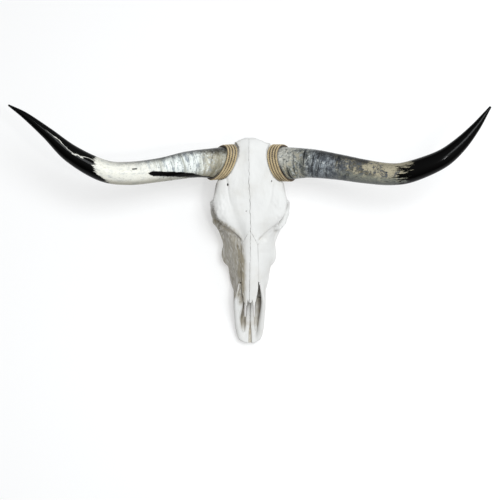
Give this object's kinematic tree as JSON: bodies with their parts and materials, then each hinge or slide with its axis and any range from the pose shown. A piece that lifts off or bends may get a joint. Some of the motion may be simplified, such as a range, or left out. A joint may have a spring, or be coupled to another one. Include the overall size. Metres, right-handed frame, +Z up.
{
  "type": "longhorn steer skull",
  "caption": "Bleached longhorn steer skull without its lower jaw, with two sweeping polished horns and a rope wrap round each horn base, lying at rest.",
  "frame": {"origin": "middle of the bounding box at the floor, with the skull lying on its cheek teeth and the two processes behind the ears", "axes": "+X from the steer's right horn to its left horn, +Y from the nose to the back of the head, +Z up"},
  "size_m": [1.1184, 0.5254, 0.3434],
  "materials": {
    "bone": "bleached and whitened bone, matte",
    "horn": "polished horn, black at the tips and grey and cream towards the head",
    "rope": "laid natural fibre rope, dry and hairy"
  },
  "bodies": {
    "root": {"frontal_left": "bone", "frontal_right": "bone", "nasal_left": "bone", "nasal_right": "bone", "incisive_left": "bone", "incisive_right": "bone", "maxilla_left": "bone", "maxilla_right": "bone", "zygomatic_left": "bone", "zygomatic_right": "bone", "braincase": "bone", "horn_left": "horn", "horn_right": "horn", "wrap_left": "rope", "wrap_right": "rope"}
  },
  "joints": []
}
